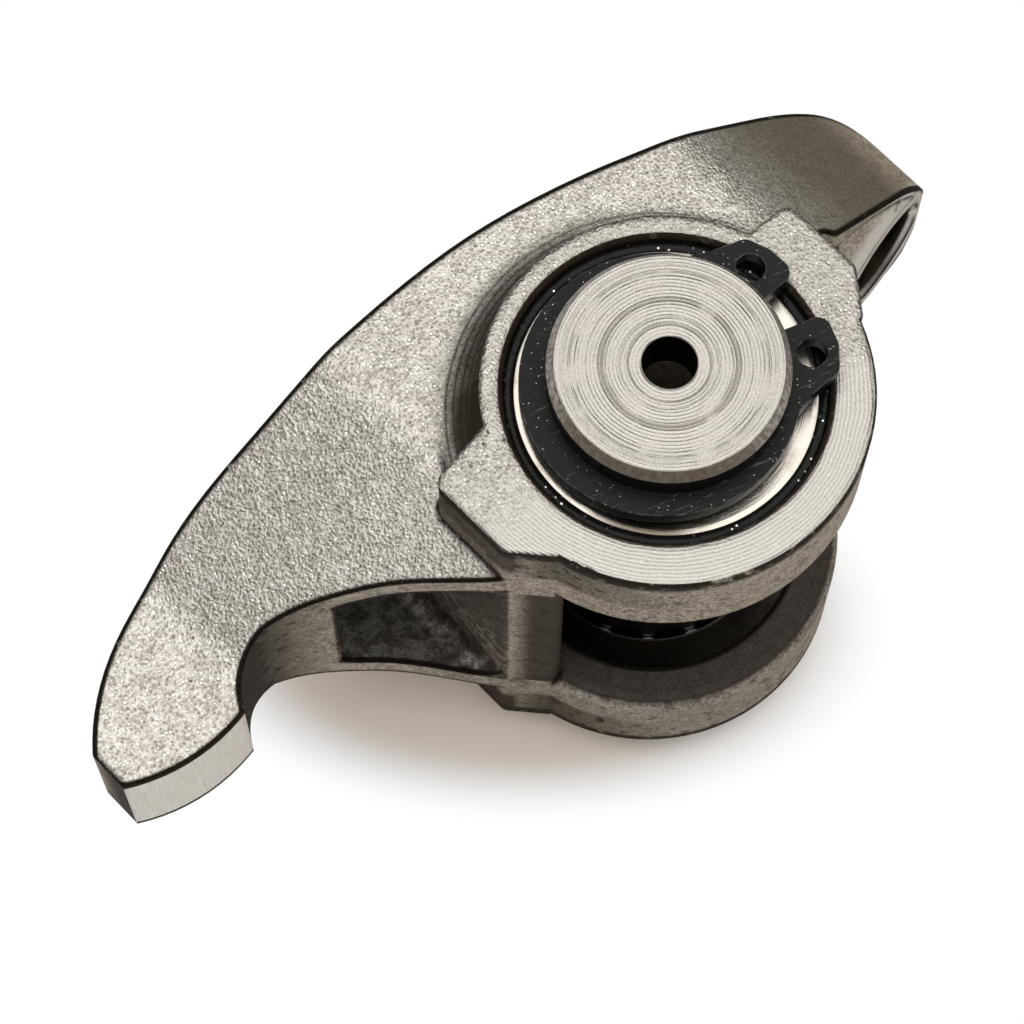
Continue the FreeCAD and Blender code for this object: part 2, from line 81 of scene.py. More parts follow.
# Directions seen along the trunnion
PICTURE_RIGHT = (0.714, -0.7)
PICTURE_DOWN = (-0.66, -0.67)
BROWNED_SIDE = (-0.753, -0.565)

# The camera, in metres
CAMERA_PLACE = (-0.066196, -0.053092, 0.227746)
CAMERA_RIGHT = Vector((0.71382, -0.70033, 0.0))
CAMERA_UP = Vector((0.65905, 0.67175, 0.33824))
CAMERA_BACK = Vector((-0.23688, -0.24144, 0.94106))
CAMERA_ROLL = 0.01


class Wire:
    """A socket of a node tree. Sums written with it add the Math nodes."""

    def __init__(self, tree, socket):
        self.tree = tree
        self.socket = socket

    def maths(self, operation, *values):
        return self.tree.node("ShaderNodeMath", {"operation": operation}, values)

    def other(self, name):
        """Another output of the same node."""
        return Wire(self.tree, self.socket.node.outputs[name])

    def __add__(self, value):
        return self.maths("ADD", self, value)

    def __radd__(self, value):
        return self.maths("ADD", value, self)

    def __sub__(self, value):
        return self.maths("SUBTRACT", self, value)

    def __rsub__(self, value):
        return self.maths("SUBTRACT", value, self)

    def __mul__(self, value):
        return self.maths("MULTIPLY", self, value)

    def __rmul__(self, value):
        return self.maths("MULTIPLY", value, self)

    def __truediv__(self, value):
        return self.maths("DIVIDE", self, value)

    def __pow__(self, value):
        return self.maths("POWER", self, value)

    def __abs__(self):
        return self.maths("ABSOLUTE", self)

    def sine(self):
        return self.maths("SINE", self)

    def root(self):
        return self.maths("SQRT", self)

    def at_most(self, value):
        return self.maths("MINIMUM", self, value)

    def at_least(self, value):
        return self.maths("MAXIMUM", self, value)

    def rise(self, low, high):
        """0 below low and 1 above high, or the other way round where low is the larger."""
        if low > high:
            return 1.0 - self.rise(high, low)
        settings = {"interpolation_type": "SMOOTHSTEP"}
        values = {"Value": self, "From Min": low, "From Max": high}
        return self.tree.node("ShaderNodeMapRange", settings, values)


class Tree:
    """A node tree that is written as Python."""

    def __init__(self, node_tree):
        self.links = node_tree.links
        self.nodes = node_tree.nodes
        self.nodes.clear()

    def node(self, kind, settings=None, values=()):
        """A node of that kind, as the wire of its first output."""
        made = self.nodes.new(kind)
        for name, value in (settings or {}).items():
            if name == "stops":
                self.set_stops(made.color_ramp, value)
            else:
                setattr(made, name, value)
        sockets = [s for s in made.inputs if s.enabled]
        pairs = values.items() if isinstance(values, dict) else zip(sockets, values)
        for socket, value in pairs:
            target = made.inputs[socket] if isinstance(socket, str) else socket
            self.feed(target, value)
        return Wire(self, next(s for s in made.outputs if s.enabled))

    def set_stops(self, ramp, stops):
        while len(ramp.elements) < len(stops):
            ramp.elements.new(0.5)
        for element, (place, colour) in zip(ramp.elements, stops):
            element.position = place
            element.color = (*colour, 1.0)

    def feed(self, socket, value):
        if isinstance(value, Wire):
            self.links.new(value.socket, socket)
        elif socket.type == "RGBA":
            socket.default_value = (*tuple(value)[:3], 1.0)
        else:
            socket.default_value = value

    def parts(self, vector):
        first = self.node("ShaderNodeSeparateXYZ", None, [vector])
        return first, first.other("Y"), first.other("Z")

    def scaled(self, vector, factor):
        values = {"Vector": vector, "Scale": factor}
        return self.node("ShaderNodeVectorMath", {"operation": "SCALE"}, values)

    def joined(self, x, y, z):
        return self.node("ShaderNodeCombineXYZ", None, [x, y, z])


class Finish(Tree):
    """One material, with the patterns that its surface needs. Patterns are in millimetres."""

    def __init__(self, name, metallic=1.0, **constants):
        self.material = bpy.data.materials.new(name)
        self.material.use_nodes = True
        super().__init__(self.material.node_tree)
        self.shader = self.nodes.new("ShaderNodeBsdfPrincipled")
        self.set(Metallic=metallic, **constants)
        self.output = self.nodes.new("ShaderNodeOutputMaterial")
        self.links.new(self.shader.outputs[0], self.output.inputs["Surface"])
        coordinates = self.node("ShaderNodeTexCoord")
        self.place = self.scaled(coordinates.other("Object"), 1.0 / MM)
        self.x, self.y, self.z = self.parts(self.place)
        self.radius = (self.x * self.x + self.y * self.y).root()
        _, _, self.facing_z = self.parts(coordinates.other("Normal"))

    def set(self, **values):
        """Feeds the shader's own sockets."""
        for name, value in values.items():
            self.feed(self.shader.inputs[name.replace("_", " ")], value)

    def distance(self, x, y):
        """How far a point is from a place seen along the trunnion."""
        return ((self.x - x) ** 2.0 + (self.y - y) ** 2.0).root()

    def mix(self, factor, first, second):
        """The first colour where the factor is 0, and the second where it is 1."""
        settings = {"data_type": "RGBA", "clamp_factor": True}
        return self.node("ShaderNodeMix", settings, [factor, first, second])

    def noise(self, size, detail=2.0, roughness=0.5, place=None):
        """Noise from 0 to 1 whose lumps are about that many millimetres across."""
        values = {
            "Vector": place or self.place,
            "Scale": 1.0 / size,
            "Detail": detail,
            "Roughness": roughness,
        }
        return self.node("ShaderNodeTexNoise", None, values)

    def cells(self, size):
        """Distance to the nearest of scattered points, one in each cell of that size."""
        values = {"Vector": self.place, "Scale": 1.0 / size}
        return self.node("ShaderNodeTexVoronoi", {"feature": "F1"}, values)

    def pits(self, spacing, size, share):
        """Scattered spots: 1 in a spot. The share is how many of the cells hold one."""
        spots = self.cells(spacing)
        chosen, _, _ = self.parts(spots.other("Color"))
        return spots.rise(size / spacing, 0.5 * size / spacing) * chosen.rise(share, share - 0.02)

    def along(self, direction):
        """How far a point lies in a direction seen along the trunnion."""
        return self.x * direction[0] + self.y * direction[1]

    def bump(self, height, depth, below=None):
        """A bump of that depth in millimetres, over the normal of the one below."""
        values = {"Height": height, "Distance": depth * MM, "Strength": 1.0}
        if below is not None:
            values["Normal"] = below
        return self.node("ShaderNodeBump", None, values)

    def rounded(self, radius, samples=4):
        """The normal of edges rounded to that radius in millimetres."""
        return self.node("ShaderNodeBevel", {"samples": samples}, {"Radius": radius * MM})

    def edge(self, rounded, start=0.985, full=0.85):
        """1 on the edges that a rounded normal turns, and 0 on the open faces."""
        flat = self.node("ShaderNodeNewGeometry").other("Normal")
        agree = self.node("ShaderNodeVectorMath", {"operation": "DOT_PRODUCT"}, [flat, rounded])
        return agree.rise(start, full)


def paint(node_names, finish):
    """Gives the frame's nodes one finish."""
    for name in node_names:
        materials = NODES[name].data.materials
        materials.clear()
        materials.append(finish.material)


def arc_centre(start, end, radius):
    """The middle of an arc that bulges downwards between two points."""
    half = (end - start) / 2
    rise = math.sqrt(radius**2 - half.length_squared)
    return start + half + Vector((-half.y, half.x)).normalized() * rise


class CastingSettings(bpy.types.PropertyGroup):
    """The cast arm."""

    light_colour: bpy.props.FloatVectorProperty(
        name="Blasted steel",
        description="Colour of the shot-blasted cast surface",
        subtype="COLOR",
        default=(0.62, 0.59, 0.545),
    )
    dark_colour: bpy.props.FloatVectorProperty(
        name="Grain shadows",
        description="Colour in the hollows of the grain",
        subtype="COLOR",
        default=(0.19, 0.166, 0.13),
    )
    # Painted highlight: the pale colour of the grains that catch the light
    grain_highlight_colour: bpy.props.FloatVectorProperty(
        name="Grain sparkles",
        description="Colour of the grains that catch the light",
        subtype="COLOR",
        default=(0.95, 0.93, 0.9),
    )
    # Painted shade: the slope towards the cup faces away from the lamp and is painted dark brown
    cup_slope_shade_colour: bpy.props.FloatVectorProperty(
        name="Cup side",
        description="Colour of the oily skin on the way to the cup",
        subtype="COLOR",
        default=(0.27, 0.227, 0.157),
    )
    # Painted shade: the flanks, which stand sideways to the lamp, are painted darker than the faces
    # that look along the trunnion, with the brown of the cast skin
    flank_shade_and_skin_colour: bpy.props.FloatVectorProperty(
        name="Flank skin",
        description="Colour of the cast skin on the flanks and in the hollows",
        subtype="COLOR",
        default=(0.48, 0.425, 0.36),
    )
    hollow_colour: bpy.props.FloatVectorProperty(
        name="Flank grain shadows",
        description="Colour in the hollows of the flanks' grain",
        subtype="COLOR",
        default=(0.11, 0.092, 0.07),
    )
    # This colour also paints shade: in the fillets, under the heel, in the bores, seat and pocket,
    # on the lug walls and between the bosses
    stain_colour: bpy.props.FloatVectorProperty(
        name="Oil stain",
        description="Colour of old oil in pits, in the bores and along the edges",
        subtype="COLOR",
        default=(0.03, 0.022, 0.014),
    )
    # Painted shade: the near black of the edge line stands in for the dark surroundings that the
    # rounded edges reflect, partly soot
    edge_shade_and_soot_colour: bpy.props.FloatVectorProperty(
        name="Soot",
        description="Colour of the black dirt along the casting's sharp edges",
        subtype="COLOR",
        default=(0.008, 0.006, 0.004),
    )
    ground_colour: bpy.props.FloatVectorProperty(
        name="Cut steel",
        description="Colour of the faced bosses",
        subtype="COLOR",
        default=(0.5, 0.48, 0.445),
    )
    cut_shadow_colour: bpy.props.FloatVectorProperty(
        name="Groove shadows",
        description="Colour in the lathe grooves of the faced bosses",
        subtype="COLOR",
        default=(0.27, 0.252, 0.222),
    )
    pad_colour: bpy.props.FloatVectorProperty(
        name="Ground steel",
        description="Colour of the ground tip",
        subtype="COLOR",
        default=(0.95, 0.93, 0.9),
    )
    grain_size: bpy.props.FloatProperty(
        name="Grain size",
        description="Size of one dimple of the blasted surface",
        unit="LENGTH",
        default=0.00027,
    )
    groove_pitch: bpy.props.FloatProperty(
        name="Facing groove pitch",
        description="Distance between the lathe grooves on the boss faces",
        unit="LENGTH",
        default=0.00027,
    )
    edge_round: bpy.props.FloatProperty(
        name="Edge rounding",
        description="Radius that blasting has left on the edges",
        unit="LENGTH",
        default=0.0007,
    )


class TrunnionSettings(bpy.types.PropertyGroup):
    """The trunnion shaft."""

    colour: bpy.props.FloatVectorProperty(
        name="Turned steel",
        description="Colour of the turned ends",
        subtype="COLOR",
        default=(0.48, 0.457, 0.42),
    )
    groove_colour: bpy.props.FloatVectorProperty(
        name="Groove shadows",
        description="Colour in the turning grooves",
        subtype="COLOR",
        default=(0.22, 0.2, 0.172),
    )
    stain_colour: bpy.props.FloatVectorProperty(
        name="Oil stain",
        description="Colour of the browned oil on the chamfers",
        subtype="COLOR",
        default=(0.13, 0.1, 0.07),
    )
    # Painted shade: the side in the gap between the chamfer and the ring, and the centre hole, are
    # painted near black, partly oil
    side_and_hole_shade_colour: bpy.props.FloatVectorProperty(
        name="Oiled side",
        description="Colour of the oiled side between the chamfer and the retaining ring",
        subtype="COLOR",
        default=(0.022, 0.017, 0.012),
    )
    groove_pitch: bpy.props.FloatProperty(
        name="Turning pitch",
        description="Distance between the turning rings on the end faces",
        unit="LENGTH",
        default=0.00025,
    )


class RingSettings(bpy.types.PropertyGroup):
    """The retaining rings."""

    colour: bpy.props.FloatVectorProperty(
        name="Black oxide",
        description="Colour of the blackened spring steel",
        subtype="COLOR",
        default=(0.009, 0.0085, 0.008),
    )
    # Worn edges, partly painted highlight, and painted glints take this colour
    edge_wear_glint_colour: bpy.props.FloatVectorProperty(
        name="Worn edge",
        description="Colour where the oxide has worn off the edges",
        subtype="COLOR",
        default=(0.42, 0.4, 0.37),
    )


class BearingSettings(bpy.types.PropertyGroup):
    """The drawn shells, cages and needles."""

    colour: bpy.props.FloatVectorProperty(
        name="Bearing steel",
        description="Colour of the drawn shells and the needles",
        subtype="COLOR",
        default=(0.62, 0.59, 0.54),
    )
    drawn_shadow_colour: bpy.props.FloatVectorProperty(
        name="Drawing lines",
        description="Colour in the lines that drawing left on the shells",
        subtype="COLOR",
        default=(0.42, 0.38, 0.32),
    )
    film_colour: bpy.props.FloatVectorProperty(
        name="Oil film",
        description="Colour of the thin film of oil in patches on the shells",
        subtype="COLOR",
        default=(0.2, 0.15, 0.1),
    )
    browned_colour: bpy.props.FloatVectorProperty(
        name="Browned side",
        description="Colour of the shells' lips on the side to which the oil has run",
        subtype="COLOR",
        default=(0.07, 0.05, 0.03),
    )
    # Painted shade: the shells' hidden parts and rolled corners are painted near black, partly old
    # oil
    oil_and_shade_colour: bpy.props.FloatVectorProperty(
        name="Oiled steel",
        description="Colour where old oil covers the shells",
        subtype="COLOR",
        default=(0.02, 0.015, 0.01),
    )
    cage_colour: bpy.props.FloatVectorProperty(
        name="Cage steel",
        description="Colour of the oiled cages",
        subtype="COLOR",
        default=(0.16, 0.14, 0.12),
    )
    cage_stain_colour: bpy.props.FloatVectorProperty(
        name="Cage stains",
        description="Colour of the stains on the cages",
        subtype="COLOR",
        default=(0.05, 0.04, 0.03),
    )
    needle_shadow_colour: bpy.props.FloatVectorProperty(
        name="Grinding marks",
        description="Colour in the grinding marks of the needles",
        subtype="COLOR",
        default=(0.5, 0.47, 0.43),
    )


class OilSettings(bpy.types.PropertyGroup):
    """The oil round the bearing shells."""

    colour: bpy.props.FloatVectorProperty(
        name="Oil",
        description="Colour of the old oil",
        subtype="COLOR",
        default=(0.004, 0.0035, 0.003),
    )
    # Painted glints: bright metallic flecks that stand in for light glinting on the wet oil
    oil_glint_paint_colour: bpy.props.FloatVectorProperty(
        name="Glints",
        description="Colour of the bright flakes in the oil",
        subtype="COLOR",
        default=(0.7, 0.68, 0.64),
    )
    waviness: bpy.props.FloatProperty(
        name="Waviness",
        description="How much the oil's surface swells and sinks along the ring",
        subtype="FACTOR",
        default=0.4,
    )
    beads: bpy.props.IntProperty(
        name="Beads",
        description="Number of small beads of oil on each ring",
        default=120,
    )


class StageSettings(bpy.types.PropertyGroup):
    """The floor, the lamp and the camera."""

    floor_height: bpy.props.FloatProperty(
        name="Floor height",
        description="Height of the floor, which the lower end of the trunnion stands on",
        unit="LENGTH",
        default=-SHAFT_HALF_LENGTH * MM,
    )
    floor_colour: bpy.props.FloatVectorProperty(
        name="Floor",
        description="Colour of the paper floor",
        subtype="COLOR",
        default=(0.93, 0.925, 0.915),
    )
    # Painted warm tint of the arm's shadow on the paper
    shadow_tint_colour: bpy.props.FloatVectorProperty(
        name="Floor by the arm",
        description="Colour of the paper close to the arm, where its shadow is warm",
        subtype="COLOR",
        default=(0.97, 0.87, 0.775),
    )
    focal_length: bpy.props.FloatProperty(
        name="Focal length",
        description="Focal length of the camera, in millimetres",
        unit="CAMERA",
        default=121.03,
    )
    lamp_strength: bpy.props.FloatProperty(
        name="Lamp strength",
        description="Factor on the power of the soft box",
        default=1.0,
    )


class ROCKER_OT_casting(bpy.types.Operator):
    """Finish the cast arm: blasted skin, faced bosses and ground tip"""

    bl_idname = "rocker.casting"
    bl_label = "Cast arm"

    def execute(self, context):
        s = context.scene.rocker_casting
        specular = {"Specular_IOR_Level": 0.06, "Specular_Tint": (0.5, 0.47, 0.42, 1.0)}
        f = Finish("cast_steel_blasted", **specular)
        pitch = s.groove_pitch / MM
        grain = s.grain_size / MM

        # The areas of the casting
        face = abs(f.z).rise(BOSS_HALF_WIDTH - 0.06, BOSS_HALF_WIDTH - 0.03)
        outward = abs(f.facing_z).rise(0.55, 0.9)
        pad_centre = arc_centre(PAD_TIP, PAD_HEEL, PAD_R)
        on_pad = f.distance(*pad_centre).rise(PAD_R - 0.09, PAD_R - 0.05)
        on_pad = on_pad * f.x.rise(PAD_HEEL.x + 0.1, PAD_HEEL.x - 0.1)
        pad = on_pad * abs(f.z).rise(NOSE_HALF_WIDTH - 0.4, NOSE_HALF_WIDTH - 0.5)
        # Painted shade between the two bosses, partly oil
        inner_room = abs(f.z).rise(BOSS_INNER + 0.5, BOSS_INNER + 0.2) * f.radius.rise(15.5, 14.5)
        in_bore = f.radius.rise(BORE_R + 0.45, BORE_R + 0.4) * (1.0 - face) * (1.0 - outward)
        seat_x, seat_y = f.x - SEAT_PLACE[0], f.y - SEAT_PLACE[1]
        across = seat_x * math.cos(SEAT_TILT) + seat_y * math.sin(SEAT_TILT)
        depth = seat_y * math.cos(SEAT_TILT) - seat_x * math.sin(SEAT_TILT)
        from_seat = (across * across + f.z * f.z).root()
        in_seat = from_seat.rise(SEAT_R + 0.06, SEAT_R + 0.02) * depth.rise(6.5, 6.0)
        # Painted highlight: the rim of the cup's seat is painted pale, standing in for the lit floor
        # that it reflects
        painted_seat_rim_light = depth.rise(0.8, 0.3) * f.x.rise(17.5, 19.0)
        shaded_cup_slope = f.x.rise(15.0, 22.0)
        smooth = (shaded_cup_slope + inner_room).at_most(1.0) * 0.75
        flare = abs(f.z) - f.x * POCKET_SLOPE
        pocket = flare.rise(POCKET_HALF + 0.3, POCKET_HALF + 0.1)
        pocket = pocket * f.y.rise(POCKET_ROOF + 0.4, POCKET_ROOF)
        pocket = pocket * f.x.rise(POCKET_START - 0.3, POCKET_START - 0.1)
        pocket = pocket * f.x.rise(POCKET_END + 0.3, POCKET_END + 0.1)

        # The grain of the blasted skin, with painted highlights on scattered grains, and the grooves
        # that the tools have cut
        patchy = f.noise(2.5, 2.0)
        cutter = (f.along((-0.3, -0.95)).rise(-2.0, 9.0) * 0.8 + patchy * 0.5).rise(0.45, 0.85)
        cut = face * cutter
        dimples = f.cells(grain)
        fine = f.noise(grain * 0.62, 2.0, 0.55)
        coarse = f.noise(grain * 3.2, 2.0)
        blast = dimples * 0.45 + fine * 0.7 + coarse * 0.4
        chance, _, _ = f.parts(dimples.other("Color"))
        painted_sparkle = chance.rise(0.7, 0.76) * dimples.rise(0.45, 0.2)
        wave = (f.radius * (2.0 * math.pi / pitch) + patchy * 9.0).sine() * 0.5 + 0.5
        grooves = wave * 0.6 + fine * 0.6
        ground = f.noise(0.14, 2.0, 0.6, f.joined(f.x, f.y, f.z * 0.05))
        worm = f.noise(1.1, 2.0)
        crack = abs(worm - 0.5).rise(0.012, 0.004) * f.distance(*CRACK_PLACE).rise(2.6, 1.4) * face
        scratch = abs(f.y - SCRATCH_Y + (worm - 0.5) * 0.7).rise(0.05, 0.02)
        scratch = scratch * f.x.rise(SCRATCH_START, SCRATCH_START + 0.3)
        scratch = scratch * f.x.rise(SCRATCH_END, SCRATCH_END - 0.3)
        marks = (f.pits(1.9, 0.16, 0.16) + crack + scratch * outward * 0.7).at_most(1.0)

        # Where old oil has darkened the skin, and where shade is painted: at the boss foot, under
        # the heel, just below the boss faces, on the lug walls and edges, in the pocket, between the
        # bosses and towards the lower side
        rounded = f.rounded(s.edge_round / MM, 8)
        left_side = (f.y - f.x).rise(-6.0, 16.0)
        # Painted shade in the concave fillet round the foot of each boss, on the left
        foot = f.radius.rise(RING_BACK_R + 3.6, RING_BACK_R + 1.0) * (1.0 - face)
        foot = foot * left_side * abs(f.z).rise(13.0, 13.3)
        # Painted shade under the heel of the nose, partly dirt
        heel = f.x.rise(-23.0, -30.0) * f.y.rise(12.0, 9.0) * (1.0 - outward) * (1.0 - on_pad)
        # Painted shade: a patchy dark band just below the faced boss edge, along its rounding,
        # partly dirt
        rim = abs(f.z).rise(16.5, 17.3) * (1.0 - face) * coarse.rise(0.25, 0.5)
        # Painted shade on the lug walls just below the left boss faces
        lug_wall = abs(f.z).rise(13.2, 14.6) * (1.0 - face)
        lug_wall = lug_wall * f.x.rise(-8.0, -11.0) * f.y.rise(-1.9, -1.2)
        _, _, leaning = f.parts(rounded)
        # Painted shade along the rounded edges, standing in for their dark reflection, partly soot
        edges = f.edge(rounded, 0.9992, 0.985) * abs(leaning).rise(0.05, 0.2)
        edges = edges * abs(f.z).rise(17.3, 17.0) * (coarse * 0.6 + fine * 0.4).rise(0.3, 0.45)
        # Oil streaks, and painted shade that darkens the flanks towards the lower side
        streaks_and_low_shade = (worm.rise(0.58, 0.7) * 0.45 + f.z.rise(-7.0, -12.0) * 0.2) * (1.0 - outward)
        # Painted shade in the pocket, partly oil
        in_pocket = pocket * (0.85 - f.z.rise(3.0, -5.0) * worm.rise(0.4, 0.6) * 0.4)
        oil_and_painted_shade = foot * 0.85 + heel * 0.95 + rim * 0.92 + lug_wall * 0.75
        oil_and_painted_shade = oil_and_painted_shade + edges * 2.4 + inner_room * 0.9 + in_pocket + streaks_and_low_shade
        oil_and_painted_shade = oil_and_painted_shade.at_most(0.96)

        # The colours, from the bare skin up to the stains and the painted shade
        tone = f.noise(9.0, 2.0) * 0.35 + worm * 0.3
        light = (blast.rise(0.5, 1.05) * 0.85 + tone - 0.17).at_least(0.0).at_most(1.0)
        skin = f.mix(light, s.dark_colour, s.light_colour)
        # Painted highlight: scattered grains turned pale as sparkles
        skin = f.mix(painted_sparkle * 0.7 * (1.0 - smooth), skin, s.grain_highlight_colour)
        # Painted shade on the slope towards the cup
        skin = f.mix(shaded_cup_slope * 0.8, skin, s.cup_slope_shade_colour)
        # Painted shade: the flanks darker and browner than the faces that look along the trunnion
        shaded_flank_skin = f.mix(light, s.hollow_colour, s.flank_shade_and_skin_colour)
        shaded_flank_skin = f.mix(painted_seat_rim_light * 0.8, shaded_flank_skin, s.light_colour)
        colour = f.mix(outward, shaded_flank_skin, skin)
        # Old oil and painted shade darken the skin to the stain colour
        colour = f.mix(oil_and_painted_shade, colour, s.stain_colour)
        # Painted shade on the edges and just below the boss faces, partly soot
        colour = f.mix((edges * 2.0 + rim * 0.5).at_most(0.85), colour, s.edge_shade_and_soot_colour)
        machined = f.mix(fine * 0.5 + wave * cut * 0.5, s.cut_shadow_colour, s.ground_colour)
        colour = f.mix(face * (0.4 + cut * 0.6), colour, machined)
        colour = f.mix(pad, colour, f.mix(ground, s.light_colour, s.pad_colour))
        # Painted shade along the sides of the ground tip, standing in for the dark reflection at its
        # edges
        colour = f.mix((on_pad - pad) * 0.9, colour, s.stain_colour)
        # Painted shade inside the bores and in the cup's seat, partly oil
        colour = f.mix((in_bore + in_seat).at_most(1.0), colour, s.stain_colour)
        colour = f.mix(marks * 0.85, colour, s.stain_colour)

        height = blast * (1.0 - smooth) * (1.0 - cut * 0.8) * (1.0 - pad)
        normal = f.bump(height, 0.1, rounded)
        normal = f.bump(grooves * cut + ground * pad * 0.4, 0.022, normal)
        f.set(
            Base_Color=colour,
            Metallic=1.0 - oil_and_painted_shade * 0.8,
            Roughness=0.43 - pad * 0.14 - cut * 0.05 - painted_sparkle * 0.12 + oil_and_painted_shade * 0.25,
            Normal=normal,
        )
        paint(["rocker_body"], f)
        return {"FINISHED"}


class ROCKER_OT_trunnion(bpy.types.Operator):
    """Finish the trunnion: turned end faces, stained chamfers, and painted shade on the sides and in
    the centre holes
    """

    bl_idname = "rocker.trunnion"
    bl_label = "Trunnion"

    def execute(self, context):
        s = context.scene.rocker_trunnion
        f = Finish("turned_steel_bright")
        pitch = s.groove_pitch / MM
        end = abs(f.z).rise(SHAFT_HALF_LENGTH - 0.08, SHAFT_HALF_LENGTH - 0.02)
        chamfer = abs(f.facing_z).rise(0.2, 0.4) * (1.0 - end)
        inside = f.radius.rise(CENTRE_HOLE_R + 0.1, CENTRE_HOLE_R - 0.05)
        patchy = f.noise(2.2, 2.0)
        uneven = f.noise(0.9, 1.0) * 1.6
        fine_rings = (f.radius * (2.0 * math.pi / pitch) + uneven).sine() * 0.5 + 0.5
        broad_rings = f.noise(0.42, 3.0, 0.7, f.joined(f.radius, patchy * 0.12, 0.0))
        rings = fine_rings * (patchy.rise(0.3, 0.6) * 0.5 + 0.3) + broad_rings * 0.8
        deep = broad_rings.rise(0.46, 0.38) * patchy.rise(0.25, 0.5)
        lines = f.noise(0.16, 3.0, 0.6, f.joined(0.0, 0.0, f.z))
        speck = f.noise(0.12, 2.0, 0.65)
        bright = rings * 0.42 + 0.1 + speck.rise(0.35, 0.65) * 0.45 - deep * 0.5
        colour = f.mix(bright.at_least(0.0).at_most(1.0), s.groove_colour, s.colour)
        # Painted shade on the side in the gap below the chamfer, with oil streaks
        side = f.mix(lines.rise(0.45, 0.7) * 0.4, s.side_and_hole_shade_colour, s.stain_colour)
        around = f.noise(0.35, 2.0, 0.5, f.joined(f.x, f.y, 0.0))
        browned = (f.along(BROWNED_SIDE) - f.radius * 0.3).rise(0.0, 4.0)
        bare = (around.rise(0.35, 0.7) * 0.6 + patchy * 0.3) * (1.0 - browned * 0.7)
        band = f.mix(bare, s.stain_colour, s.colour)
        colour = f.mix(end, f.mix(chamfer, side, band), colour)
        # Painted shade in the centre hole
        colour = f.mix(inside * 0.92, colour, s.side_and_hole_shade_colour)
        normal = f.bump((rings - deep * 0.6) * end, 0.03)
        normal = f.bump(speck + lines * (1.0 - end), 0.012, normal)
        f.set(Base_Color=colour, Roughness=0.32 + inside * 0.3 + speck * 0.08, Normal=normal)
        paint(["trunnion"], f)
        return {"FINISHED"}


class ROCKER_OT_rings(bpy.types.Operator):
    """Finish the retaining rings: oiled black oxide with bright worn edges, partly painted
    highlight, and painted glints
    """

    bl_idname = "rocker.rings"
    bl_label = "Retaining rings"

    def execute(self, context):
        s = context.scene.rocker_rings
        f = Finish("spring_steel_black_oxide", metallic=0.0, Specular_IOR_Level=0.12)
        slanted = f.joined(f.x * 0.2 - f.y * 0.08, f.x * 1.05 + f.y * 2.8, f.z)
        scratched = f.noise(0.5, 3.0, 0.7, slanted)
        # Painted glints: small bright metallic spots
        painted_ring_glints = f.pits(0.26, 0.055, 0.25)
        rounded = f.rounded(0.15)
        wear = f.edge(rounded) * f.noise(0.8, 2.0).rise(0.4, 0.65)
        # Scratches and worn edges, partly painted highlight, and painted glints
        wear_and_glints = (scratched.rise(0.6, 0.72) * 0.22 + wear * 0.6 + painted_ring_glints * 0.75).at_most(1.0)
        colour = f.mix(wear_and_glints, s.colour, s.edge_wear_glint_colour)
        f.set(
            Base_Color=colour,
            Metallic=wear_and_glints.at_most(0.9),
            Roughness=0.34 - painted_ring_glints * 0.15,
            Normal=f.bump(scratched, 0.02, rounded),
        )
        paint([f"retaining_ring_{side}" for side in SIDES], f)
        return {"FINISHED"}


def input_of(tree, name, kind, default):
    """A named input of a Geometry Nodes tree."""
    item = tree.interface.new_socket(name=name, in_out="INPUT", socket_type=kind)
    item.default_value = default


